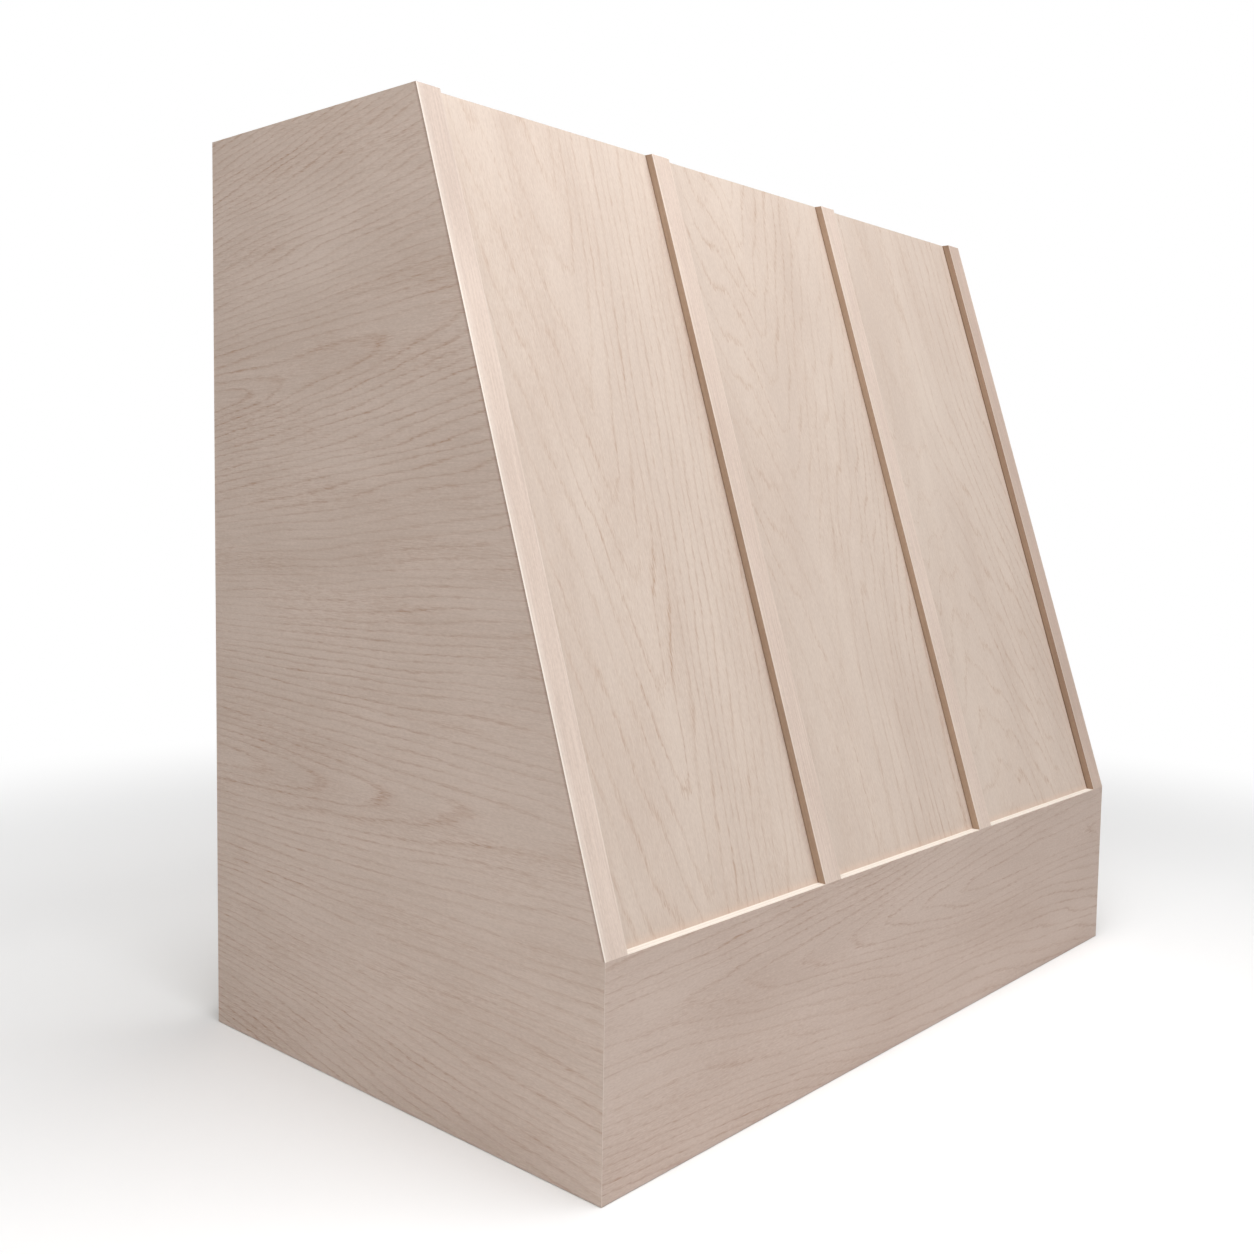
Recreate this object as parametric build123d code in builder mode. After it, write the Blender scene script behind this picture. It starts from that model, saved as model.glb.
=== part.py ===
from build123d import *
from math import cos, hypot, radians, sin, tan
import os

# A wooden range hood cover: a box with a slanted, strapped front over a plain apron, which
# hangs on a bevelled cleat on the kitchen wall and hides the vent insert and its duct.
#
# Millimetres. +X is the viewer's right, the front faces -Y, the wall is at +Y and +Z is up.
# The origin is the middle of the cover's footprint, at the height of its bottom edge.

# ---------------------------------------------------------------- outside of the cover
cover_width = 914.4
cover_height = 876.3
bottom_depth = 533.4
top_depth = 308.0
apron_height = 190.5

# ---------------------------------------------------------------- show boards
side_thickness = 19.0
apron_thickness = 19.0
panel_thickness = 12.7
strap_width = 26.0
strap_thickness = 8.5

# ---------------------------------------------------------------- rails inside
rail_thickness = 19.0
top_rail_width = 50.0
apron_rail_width = 64.0
hang_rail_height = 140.0
bottom_rail_height = 89.0
foot_cleat_width = 45.0
brace_height = 64.0
corner_strip_size = 19.0
corner_block_leg = 38.0
corner_block_gap = 19.0

# ---------------------------------------------------------------- vent insert shelf
shelf_recess = 38.0
shelf_thickness = 19.0
ledger_size = 19.0
shelf_side_width = 76.2
shelf_end_width = 88.9
insert_hole_radius = 2.0
insert_hole_edge = 12.0
insert_hole_spacing = 200.0

# ---------------------------------------------------------------- hanging cleats
cleat_thickness = 19.0
cleat_height = 76.0
cleat_length = 812.8
cleat_running_gap = 0.5
stud_spacing = 406.4
wall_hole_rise = 38.1
wall_hole_radius = 3.5
wall_hole_sink_radius = 6.5
lock_hole_radius = 3.0

# ---------------------------------------------------------------- mitre splines
spline_thickness = 4.0
spline_width = 12.0
spline_offset = 3.5
spline_inset = 12.0

# ---------------------------------------------------------------- screws and pins
fit_gap = 0.1
countersink_angle = 82.0
screw_cover = 6.0
screw_radius = 2.1
screw_head_radius = 4.2
panel_screw_cover = 3.7
panel_screw_radius = 1.75
panel_screw_head_radius = 3.5
strap_screw_cover = 2.2
strap_screw_radius = 1.6
strap_screw_head_radius = 3.2
strap_screw_head_height = 2.0
pocket_angle = 15.0
pocket_radius = 4.8
pocket_seat_back = 16.0
pocket_screw_cover = 3.5
pocket_screw_radius = 2.0
pocket_screw_head_radius = 4.5
pocket_screw_head_height = 2.4
pocket_margin = 15.0
drive_size = 2.4
drive_depth = 1.4
point_length = 4.0
pin_radius = 0.6
pin_length = 22.0
pin_cover = 1.0
fastener_margin = 40.0

# ---------------------------------------------------------------- planes and heights
half_width = cover_width / 2
inner_half = half_width - side_thickness
front_y = -bottom_depth / 2
wall_y = bottom_depth / 2
apron_back_y = front_y + apron_thickness

slope_run = bottom_depth - top_depth
slope_rise = cover_height - apron_height
slope_length = hypot(slope_run, slope_rise)
up_slope = Vector(0, slope_run, slope_rise) / slope_length
into_slope = Vector(0, slope_rise, -slope_run) / slope_length
panel_back = strap_thickness + panel_thickness

shelf_top = shelf_recess + shelf_thickness
ledger_top = shelf_top + ledger_size
apron_rail_bottom = apron_height - rail_thickness
foot_top = apron_height + rail_thickness
top_rail_bottom = cover_height - rail_thickness
hang_rail_bottom = cover_height - hang_rail_height

strap_pitch = (cover_width - strap_width) / 3


def slope_y(height, depth):
    """Y at this height of the plane that lies this deep behind the straps' faces."""
    rise = height - apron_height
    return front_y + rise * slope_run / slope_rise + depth * slope_length / slope_rise


def on_slope(x, distance, depth):
    """Point this far up the slope from the apron and this deep behind the straps' faces."""
    return Vector(x, front_y, apron_height) + up_slope * distance + into_slope * depth


def corners(x_low, x_high, y_low, y_high):
    """Corners of a rectangle, for a board that lies or stands square."""
    return (x_low, y_low), (x_high, y_low), (x_high, y_high), (x_low, y_high)


def spread(low, high, count):
    """Evenly spaced positions from low to high."""
    step = (high - low) / (count - 1)
    return [low + step * index for index in range(count)]


# ---------------------------------------------------------------- fasteners
# A seat is a plane whose Z axis points out of the wood, towards the screwdriver. A countersunk
# screw's seat is at the top of its head, and a flat-bottomed head's seat is at its underside.
thinnest_board = min(
    side_thickness,
    apron_thickness,
    rail_thickness,
    shelf_thickness,
    ledger_size,
    cleat_thickness,
    corner_strip_size,
)
screw_length = 2 * thinnest_board - screw_cover
panel_screw_length = min(corner_strip_size, rail_thickness) + panel_thickness - panel_screw_cover
strap_screw_length = panel_back - strap_screw_cover
pocket_bite = min(side_thickness, apron_thickness) - pocket_screw_cover
pocket_screw_length = pocket_seat_back + pocket_bite / cos(radians(pocket_angle))


def countersunk_screw(radius, head_radius, length):
    """Flat-head wood screw with a square drive, pointing down -Z from the top of its head."""
    head_height = (head_radius - radius) / tan(radians(countersink_angle / 2))
    with BuildPart() as screw:
        with BuildSketch(Plane.XZ):
            with BuildLine():
                Polyline(
                    (0, 0),
                    (head_radius, 0),
                    (radius, -head_height),
                    (radius, point_length - length),
                    (0, -length),
                    close=True,
                )
            make_face()
        revolve(axis=Axis.Z)
        with BuildSketch(Plane.XY):
            Rectangle(drive_size, drive_size)
        extrude(amount=-drive_depth, mode=Mode.SUBTRACT)
    return screw.part


def washer_head_screw(radius, head_radius, head_height, length):
    """Flat-bottomed screw with a square drive, pointing down -Z from under its head."""
    with BuildPart() as screw:
        with BuildSketch(Plane.XZ):
            with BuildLine():
                Polyline(
                    (0, head_height),
                    (head_radius - head_height / 2, head_height),
                    (head_radius, head_height / 2),
                    (head_radius, 0),
                    (radius, 0),
                    (radius, point_length - length),
                    (0, -length),
                    close=True,
                )
            make_face()
        revolve(axis=Axis.Z)
        with BuildSketch(Plane.XY.offset(head_height)):
            Rectangle(drive_size, drive_size)
        extrude(amount=-drive_depth, mode=Mode.SUBTRACT)
    return screw.part


def pocket_seat(end_point, along_board, out_of_face):
    """Seat of a pocket screw that leaves the board's end at end_point."""
    lean = radians(pocket_angle)
    axis = Vector(*along_board) * cos(lean) + Vector(*out_of_face) * sin(lean)
    return Plane(origin=Vector(*end_point) + axis * pocket_seat_back, z_dir=axis)


def mirrored(seats):
    """The same seats on the cover's other side."""
    return [
        Plane(
            origin=(-seat.origin.X, seat.origin.Y, seat.origin.Z),
            z_dir=(-seat.z_dir.X, seat.z_dir.Y, seat.z_dir.Z),
        )
        for seat in seats
    ]


def drill(seats, radius, length):
    """Clearance holes for screws or pins, cut in the piece that is being built."""
    with Locations(*seats):
        Cylinder(
            radius + fit_gap,
            length + fit_gap,
            align=(Align.CENTER, Align.CENTER, Align.MAX),
            mode=Mode.SUBTRACT,
        )


def countersink(seats, radius, head_radius, length):
    """Countersunk clearance holes, cut in the piece that is being built."""
    with Locations(*seats):
        CounterSinkHole(radius + fit_gap, head_radius + fit_gap, length + fit_gap, countersink_angle)


def drill_pockets(seats):
    """Slanted pockets for screws, each with its flat seat and the screw's own hole."""
    drill(seats, pocket_screw_radius, pocket_screw_length)
    with Locations(*seats):
        Cylinder(
            pocket_radius,
            pocket_screw_length * 2,
            align=(Align.CENTER, Align.CENTER, Align.MIN),
            mode=Mode.SUBTRACT,
        )


# Rails into the side panels, left end
top_rail_rear_y = slope_y(cover_height, panel_back) + top_rail_width
hang_rail_front_y = wall_y - cleat_thickness - rail_thickness
apron_rail_rear_y = apron_back_y + apron_rail_width
bottom_rail_top = shelf_top + bottom_rail_height

top_rail_pockets = [
    pocket_seat((-inner_half, y, cover_height - rail_thickness / 2), (1, 0, 0), (0, 0, -1))
    for y in (top_rail_rear_y - top_rail_width + pocket_margin, top_rail_rear_y - pocket_margin)
]
apron_rail_end_pockets = [
    pocket_seat((-inner_half, y, apron_height - rail_thickness / 2), (1, 0, 0), (0, 0, -1))
    for y in (apron_back_y + pocket_margin, apron_rail_rear_y - pocket_margin)
]
hang_rail_pockets = [
    pocket_seat((-inner_half, hang_rail_front_y + rail_thickness / 2, z), (1, 0, 0), (0, -1, 0))
    for z in spread(hang_rail_bottom + pocket_margin, cover_height - pocket_margin, 3)
]
bottom_rail_pockets = [
    pocket_seat((-inner_half, wall_y - rail_thickness / 2, z), (1, 0, 0), (0, -1, 0))
    for z in (ledger_top + pocket_margin, bottom_rail_top - pocket_margin)
]
side_pockets = top_rail_pockets + apron_rail_end_pockets + hang_rail_pockets + bottom_rail_pockets

# Apron rail into the apron
apron_pockets = [
    pocket_seat((x, apron_back_y, apron_height - rail_thickness / 2), (0, 1, 0), (0, 0, -1))
    for x in spread(-inner_half + 2 * fastener_margin, inner_half - 2 * fastener_margin, 5)
]

# Shelf sides into the shelf's front and rear boards, left side
shelf_middle_y = (apron_back_y + wall_y) / 2
cutout_front_y = apron_back_y + shelf_end_width
cutout_rear_y = wall_y - shelf_end_width
cutout_half = inner_half - shelf_side_width
shelf_pocket_x = (-inner_half + ledger_size + pocket_margin, -cutout_half - pocket_margin)
shelf_middle_z = shelf_recess + shelf_thickness / 2
shelf_front_pockets = [
    pocket_seat((x, cutout_front_y, shelf_middle_z), (0, 1, 0), (0, 0, 1)) for x in shelf_pocket_x
]
shelf_rear_pockets = [
    pocket_seat((x, cutout_rear_y, shelf_middle_z), (0, -1, 0), (0, 0, 1)) for x in shelf_pocket_x
]
shelf_pockets = shelf_front_pockets + shelf_rear_pockets

# Ledgers into the side panel and the apron
ledger_middle_z = shelf_top + ledger_size / 2
ledger_inner_x = -inner_half + ledger_size
side_ledger_front_y = apron_back_y + ledger_size
side_ledger_rear_y = wall_y - rail_thickness
side_ledger_seats = [
    Plane(origin=(ledger_inner_x, y, ledger_middle_z), z_dir=(1, 0, 0))
    for y in spread(side_ledger_front_y + fastener_margin, side_ledger_rear_y - fastener_margin, 3)
]
front_ledger_seats = [
    Plane(origin=(x, side_ledger_front_y, ledger_middle_z), z_dir=(0, 1, 0))
    for x in spread(-inner_half + 2 * fastener_margin, inner_half - 2 * fastener_margin, 4)
]

# Shelf up into the ledgers and the bottom rail, between the screws that hold those
side_shelf_seats = [
    Plane(origin=(-inner_half + ledger_size / 2, y, shelf_recess), z_dir=(0, 0, -1))
    for y in spread(cutout_front_y + fastener_margin, cutout_rear_y - fastener_margin, 2)
]
front_shelf_seats = [
    Plane(origin=(x, apron_back_y + ledger_size / 2, shelf_recess), z_dir=(0, 0, -1))
    for x in spread(-inner_half + fastener_margin, inner_half - fastener_margin, 5)
]
rear_shelf_seats = [
    Plane(origin=(x, wall_y - rail_thickness / 2, shelf_recess), z_dir=(0, 0, -1))
    for x in spread(-inner_half + 2 * fastener_margin, inner_half - 2 * fastener_margin, 4)
]

# Foot cleat down into the apron rail
foot_rear_y = slope_y(apron_height, panel_back) + foot_cleat_width
foot_seats = [
    Plane(origin=(x, foot_rear_y - pocket_margin, foot_top), z_dir=(0, 0, 1))
    for x in spread(-inner_half + 3 * fastener_margin, inner_half - 3 * fastener_margin, 4)
]

# Hang rail into the hanging cleat
hang_cleat_seats = [
    Plane(origin=(x, hang_rail_front_y, cover_height - cleat_height / 2), z_dir=(0, -1, 0))
    for x in spread(fastener_margin - cleat_length / 2, cleat_length / 2 - fastener_margin, 6)
]

# Corner strips into the side panel and, between those screws, into the front panel
strip_low = (foot_top - apron_height) * slope_length / slope_rise
strip_high = (top_rail_bottom - apron_height) * slope_length / slope_rise
strip_centre_depth = panel_back + corner_strip_size / 2
strip_side_seats = [
    Plane(origin=on_slope(-inner_half + corner_strip_size, distance, strip_centre_depth), z_dir=(1, 0, 0))
    for distance in spread(strip_low + fastener_margin, strip_high - fastener_margin, 4)
]
strip_panel_seats = [
    Plane(
        origin=on_slope(-inner_half + corner_strip_size / 2, distance, panel_back + corner_strip_size),
        z_dir=into_slope,
    )
    for distance in spread(strip_low + 2 * fastener_margin, strip_high - 2 * fastener_margin, 4)
]

# Brace into the front panel
brace_middle = slope_length / 2
brace_seats = [
    Plane(origin=on_slope(x, brace_middle, panel_back + rail_thickness), z_dir=into_slope)
    for x in spread(-inner_half + 2 * fastener_margin, inner_half - 2 * fastener_margin, 6)
]

# Front panel into the two middle straps, above and below the brace
strap_screw_rows = spread(
    strip_low + fastener_margin, brace_middle - brace_height / 2 - fastener_margin, 2
) + spread(brace_middle + brace_height / 2 + fastener_margin, strip_high - fastener_margin, 2)
strap_seats = [
    Plane(origin=on_slope(-strap_pitch / 2, distance, panel_back), z_dir=into_slope)
    for distance in strap_screw_rows
]

# Edge straps into the slanted edge of the side panel, with the pins set below the strap's face
edge_pin_x = -half_width + (strap_thickness + side_thickness) / 2
edge_pin_seats = [
    Plane(origin=on_slope(edge_pin_x, distance, pin_cover), z_dir=-into_slope)
    for distance in spread(fastener_margin, slope_length - fastener_margin, 6)
]


# ---------------------------------------------------------------- side panels
# The mitre runs through the whole board beside the apron, and through the strap's thickness
# above it, so that no joint shows from the side or from the front.
mitre_length = hypot(side_thickness, apron_thickness)
mitre_shift = 0.5 + spline_offset / mitre_length
spline_plane = Plane(
    origin=(
        -half_width + side_thickness * mitre_shift,
        front_y + apron_thickness * mitre_shift,
        spline_inset,
    ),
    x_dir=(apron_thickness, -side_thickness, 0),
    z_dir=(0, 0, 1),
)
spline_height = apron_height - 2 * spline_inset


def cut_spline_slot(plane):
    """Blind slot for a spline, across the mitre, in the piece that is being built."""
    with Locations(plane.offset(-fit_gap)):
        Box(
            spline_width + 2 * fit_gap,
            spline_thickness + 2 * fit_gap,
            spline_height + 2 * fit_gap,
            align=(Align.CENTER, Align.CENTER, Align.MIN),
            mode=Mode.SUBTRACT,
        )


with BuildPart() as side_panel_left:
    with BuildSketch(Plane.XY):
        Polygon(
            (-half_width, front_y),
            (-inner_half, apron_back_y),
            (-inner_half, wall_y),
            (-half_width, wall_y),
            align=None,
        )
    extrude(amount=apron_height)
    with BuildSketch(Plane.YZ.offset(-half_width)):
        Polygon(
            (slope_y(apron_height, strap_thickness), apron_height),
            (wall_y, apron_height),
            (wall_y, cover_height),
            (slope_y(cover_height, strap_thickness), cover_height),
            align=None,
        )
    extrude(amount=side_thickness)
    with BuildSketch(Plane.XY.offset(apron_height)):
        Polygon(
            (-half_width, front_y),
            (-half_width + strap_thickness, slope_y(apron_height, strap_thickness)),
            (-half_width, slope_y(apron_height, strap_thickness)),
            align=None,
        )
    extrude(amount=slope_length, dir=up_slope)
    cut_spline_slot(spline_plane)
    drill(side_pockets, pocket_screw_radius, pocket_screw_length)
    drill(side_ledger_seats + strip_side_seats, screw_radius, screw_length)
    drill(edge_pin_seats, pin_radius, pin_length)

with BuildPart() as side_panel_right:
    mirror(side_panel_left.part, about=Plane.YZ)


# ---------------------------------------------------------------- apron
with BuildPart() as apron_board:
    with BuildSketch(Plane.XY):
        Polygon(
            (-half_width, front_y),
            (half_width, front_y),
            (inner_half, apron_back_y),
            (-inner_half, apron_back_y),
            align=None,
        )
    extrude(amount=apron_height)
    cut_spline_slot(spline_plane)
    cut_spline_slot(
        Plane(
            origin=(-spline_plane.origin.X, spline_plane.origin.Y, spline_inset),
            x_dir=(apron_thickness, side_thickness, 0),
            z_dir=(0, 0, 1),
        )
    )
    drill(apron_pockets, pocket_screw_radius, pocket_screw_length)
    drill(front_ledger_seats, screw_radius, screw_length)

with BuildPart() as mitre_spline_left:
    with BuildSketch(spline_plane):
        Rectangle(spline_width, spline_thickness)
    extrude(amount=spline_height)

with BuildPart() as mitre_spline_right:
    mirror(mitre_spline_left.part, about=Plane.YZ)


# ---------------------------------------------------------------- slanted front panel
with BuildPart() as front_panel:
    with BuildSketch(Plane.XY.offset(apron_height)):
        Polygon(
            *corners(
                -inner_half,
                inner_half,
                slope_y(apron_height, strap_thickness),
                slope_y(apron_height, panel_back),
            ),
            align=None,
        )
    extrude(amount=slope_length, dir=up_slope)
    panel_seats = strip_panel_seats + mirrored(strip_panel_seats) + brace_seats
    drill(panel_seats, panel_screw_radius, panel_screw_length)
    drill(strap_seats + mirrored(strap_seats), strap_screw_radius, strap_screw_length)


# ---------------------------------------------------------------- straps
# Each strap stands on the apron's top edge and is cut level at both ends.
with BuildPart() as strap_left:
    with BuildSketch(Plane.XY.offset(apron_height)):
        Polygon(
            (-half_width, front_y),
            (-half_width + strap_width, front_y),
            (-half_width + strap_width, slope_y(apron_height, strap_thickness)),
            (-half_width + strap_thickness, slope_y(apron_height, strap_thickness)),
            align=None,
        )
    extrude(amount=slope_length, dir=up_slope)
    drill(edge_pin_seats, pin_radius, pin_length)

with BuildPart() as strap_right:
    mirror(strap_left.part, about=Plane.YZ)

with BuildPart() as strap_centre_left:
    with BuildSketch(Plane.XY.offset(apron_height)):
        Polygon(
            *corners(
                -strap_pitch / 2 - strap_width / 2,
                -strap_pitch / 2 + strap_width / 2,
                front_y,
                slope_y(apron_height, strap_thickness),
            ),
            align=None,
        )
    extrude(amount=slope_length, dir=up_slope)
    drill(strap_seats, strap_screw_radius, strap_screw_length)

with BuildPart() as strap_centre_right:
    mirror(strap_centre_left.part, about=Plane.YZ)


# ---------------------------------------------------------------- rails behind the front
# The top and apron rails lie flat. The front edges of the top rail and the foot cleat are
# bevelled to the back of the slanted panel.
with BuildPart() as top_front_rail:
    with BuildSketch(Plane.YZ.offset(-inner_half)):
        Polygon(
            (slope_y(top_rail_bottom, panel_back), top_rail_bottom),
            (top_rail_rear_y, top_rail_bottom),
            (top_rail_rear_y, cover_height),
            (slope_y(cover_height, panel_back), cover_height),
            align=None,
        )
    extrude(amount=2 * inner_half)
    drill_pockets(top_rail_pockets + mirrored(top_rail_pockets))

with BuildPart() as apron_rail:
    with BuildSketch(Plane.XY.offset(apron_rail_bottom)):
        Polygon(*corners(-inner_half, inner_half, apron_back_y, apron_rail_rear_y), align=None)
    extrude(amount=rail_thickness)
    drill_pockets(apron_rail_end_pockets + mirrored(apron_rail_end_pockets) + apron_pockets)
    drill(foot_seats, screw_radius, screw_length)

with BuildPart() as panel_foot_cleat:
    with BuildSketch(Plane.YZ.offset(-inner_half)):
        Polygon(
            (slope_y(apron_height, panel_back), apron_height),
            (foot_rear_y, apron_height),
            (foot_rear_y, foot_top),
            (slope_y(foot_top, panel_back), foot_top),
            align=None,
        )
    extrude(amount=2 * inner_half)
    countersink(foot_seats, screw_radius, screw_head_radius, screw_length)

with BuildPart() as corner_strip_left:
    with BuildSketch(Plane.XY.offset(foot_top)):
        Polygon(
            *corners(
                -inner_half,
                -inner_half + corner_strip_size,
                slope_y(foot_top, panel_back),
                slope_y(foot_top, panel_back + corner_strip_size),
            ),
            align=None,
        )
    extrude(amount=strip_high - strip_low, dir=up_slope)
    countersink(strip_side_seats, screw_radius, screw_head_radius, screw_length)
    countersink(
        strip_panel_seats, panel_screw_radius, panel_screw_head_radius, panel_screw_length
    )

with BuildPart() as corner_strip_right:
    mirror(corner_strip_left.part, about=Plane.YZ)

brace_half_length = inner_half - corner_strip_size
with BuildPart() as panel_brace:
    with BuildSketch(Plane.YZ.offset(-brace_half_length)):
        brace_corners = [
            on_slope(0, brace_middle - brace_height / 2, panel_back),
            on_slope(0, brace_middle + brace_height / 2, panel_back),
            on_slope(0, brace_middle + brace_height / 2, panel_back + rail_thickness),
            on_slope(0, brace_middle - brace_height / 2, panel_back + rail_thickness),
        ]
        Polygon(*[(corner.Y, corner.Z) for corner in brace_corners], align=None)
    extrude(amount=2 * brace_half_length)
    countersink(brace_seats, panel_screw_radius, panel_screw_head_radius, panel_screw_length)

with BuildPart() as apron_corner_block_left:
    with BuildSketch(Plane.XY.offset(ledger_top)):
        Polygon(
            (-inner_half, apron_back_y),
            (-inner_half + corner_block_leg, apron_back_y),
            (-inner_half, apron_back_y + corner_block_leg),
            align=None,
        )
    extrude(amount=apron_rail_bottom - corner_block_gap - ledger_top)

with BuildPart() as apron_corner_block_right:
    mirror(apron_corner_block_left.part, about=Plane.YZ)


# ---------------------------------------------------------------- shelf for the vent insert
with BuildPart() as shelf_front:
    with BuildSketch(Plane.XY.offset(shelf_recess)):
        Polygon(*corners(-inner_half, inner_half, apron_back_y, cutout_front_y), align=None)
    extrude(amount=shelf_thickness)
    drill(
        shelf_front_pockets + mirrored(shelf_front_pockets),
        pocket_screw_radius,
        pocket_screw_length,
    )
    countersink(front_shelf_seats, screw_radius, screw_head_radius, screw_length)

with BuildPart() as shelf_rear:
    with BuildSketch(Plane.XY.offset(shelf_recess)):
        Polygon(*corners(-inner_half, inner_half, cutout_rear_y, wall_y), align=None)
    extrude(amount=shelf_thickness)
    drill(
        shelf_rear_pockets + mirrored(shelf_rear_pockets),
        pocket_screw_radius,
        pocket_screw_length,
    )
    countersink(rear_shelf_seats, screw_radius, screw_head_radius, screw_length)

with BuildPart() as shelf_left:
    with BuildSketch(Plane.XY.offset(shelf_recess)):
        Polygon(*corners(-inner_half, -cutout_half, cutout_front_y, cutout_rear_y), align=None)
    extrude(amount=shelf_thickness)
    drill_pockets(shelf_pockets)
    countersink(side_shelf_seats, screw_radius, screw_head_radius, screw_length)
    with Locations(Plane.XY.offset(shelf_top)):
        with Locations(
            (-cutout_half - insert_hole_edge, shelf_middle_y - insert_hole_spacing / 2),
            (-cutout_half - insert_hole_edge, shelf_middle_y + insert_hole_spacing / 2),
        ):
            Hole(insert_hole_radius)

with BuildPart() as shelf_right:
    mirror(shelf_left.part, about=Plane.YZ)

with BuildPart() as ledger_front:
    with BuildSketch(Plane.XY.offset(shelf_top)):
        Polygon(*corners(-inner_half, inner_half, apron_back_y, side_ledger_front_y), align=None)
    extrude(amount=ledger_size)
    countersink(front_ledger_seats, screw_radius, screw_head_radius, screw_length)
    drill(front_shelf_seats, screw_radius, screw_length)

with BuildPart() as ledger_left:
    with BuildSketch(Plane.XY.offset(shelf_top)):
        Polygon(
            *corners(-inner_half, ledger_inner_x, side_ledger_front_y, side_ledger_rear_y),
            align=None,
        )
    extrude(amount=ledger_size)
    countersink(side_ledger_seats, screw_radius, screw_head_radius, screw_length)
    drill(side_shelf_seats, screw_radius, screw_length)

with BuildPart() as ledger_right:
    mirror(ledger_left.part, about=Plane.YZ)


# ---------------------------------------------------------------- wall side
with BuildPart() as bottom_rail:
    with BuildSketch(Plane.XY.offset(shelf_top)):
        Polygon(*corners(-inner_half, inner_half, wall_y - rail_thickness, wall_y), align=None)
    extrude(amount=bottom_rail_height)
    drill_pockets(bottom_rail_pockets + mirrored(bottom_rail_pockets))
    drill(rear_shelf_seats, screw_radius, screw_length)
    with Locations(Plane.XZ.offset(-wall_y)):
        with Locations(
            (-stud_spacing / 2, shelf_top + bottom_rail_height / 2),
            (stud_spacing / 2, shelf_top + bottom_rail_height / 2),
        ):
            Hole(lock_hole_radius)

with BuildPart() as hang_rail:
    with BuildSketch(Plane.XY.offset(hang_rail_bottom)):
        Polygon(
            *corners(-inner_half, inner_half, hang_rail_front_y, wall_y - cleat_thickness),
            align=None,
        )
    extrude(amount=hang_rail_height)
    drill_pockets(hang_rail_pockets + mirrored(hang_rail_pockets))
    countersink(hang_cleat_seats, screw_radius, screw_head_radius, screw_length)

# The two cleats hook together on a 45 degree bevel, low at the wall and high towards the room.
bevel_low = cover_height - cleat_height
wall_cleat_front_y = wall_y - cleat_thickness + cleat_running_gap
wall_cleat_bottom = bevel_low + cleat_thickness - cleat_height

with BuildPart() as hang_cleat:
    with BuildSketch(Plane.YZ.offset(-cleat_length / 2)):
        Polygon(
            (wall_y - cleat_thickness, cover_height),
            (wall_y, cover_height),
            (wall_y, bevel_low),
            (wall_y - cleat_thickness, bevel_low + cleat_thickness),
            align=None,
        )
    extrude(amount=cleat_length)
    drill(hang_cleat_seats, screw_radius, screw_length)

with BuildPart() as wall_cleat:
    with BuildSketch(Plane.YZ.offset(-cleat_length / 2)):
        Polygon(
            (wall_cleat_front_y, bevel_low + wall_y - wall_cleat_front_y),
            (wall_y, bevel_low),
            (wall_y, wall_cleat_bottom),
            (wall_cleat_front_y, wall_cleat_bottom),
            align=None,
        )
    extrude(amount=cleat_length)
    wall_hole_z = (bevel_low + wall_cleat_bottom) / 2
    wall_seats = [
        Plane(origin=(x, wall_cleat_front_y, z), z_dir=(0, -1, 0))
        for x in (-stud_spacing / 2, stud_spacing / 2)
        for z in (wall_hole_z - wall_hole_rise / 2, wall_hole_z + wall_hole_rise / 2)
    ]
    with Locations(*wall_seats):
        CounterSinkHole(wall_hole_radius, wall_hole_sink_radius, cleat_thickness, countersink_angle)


# ---------------------------------------------------------------- fasteners in their holes
pocket_screw = washer_head_screw(
    pocket_screw_radius, pocket_screw_head_radius, pocket_screw_head_height, pocket_screw_length
)
with BuildPart() as pocket_screws:
    with Locations(
        *side_pockets,
        *mirrored(side_pockets),
        *apron_pockets,
        *shelf_pockets,
        *mirrored(shelf_pockets),
    ):
        add(pocket_screw)

wood_screw = countersunk_screw(screw_radius, screw_head_radius, screw_length)
one_side_seats = side_ledger_seats + strip_side_seats + side_shelf_seats
with BuildPart() as wood_screws:
    with Locations(
        *one_side_seats,
        *mirrored(one_side_seats),
        *front_ledger_seats,
        *front_shelf_seats,
        *rear_shelf_seats,
        *foot_seats,
        *hang_cleat_seats,
    ):
        add(wood_screw)

panel_screw = countersunk_screw(panel_screw_radius, panel_screw_head_radius, panel_screw_length)
with BuildPart() as panel_screws:
    with Locations(*panel_seats):
        add(panel_screw)

strap_screw = washer_head_screw(
    strap_screw_radius, strap_screw_head_radius, strap_screw_head_height, strap_screw_length
)
with BuildPart() as strap_screws:
    with Locations(*strap_seats, *mirrored(strap_seats)):
        add(strap_screw)

with BuildPart() as edge_strap_pins:
    with Locations(*edge_pin_seats, *mirrored(edge_pin_seats)):
        Cylinder(pin_radius, pin_length, align=(Align.CENTER, Align.CENTER, Align.MAX))


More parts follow.
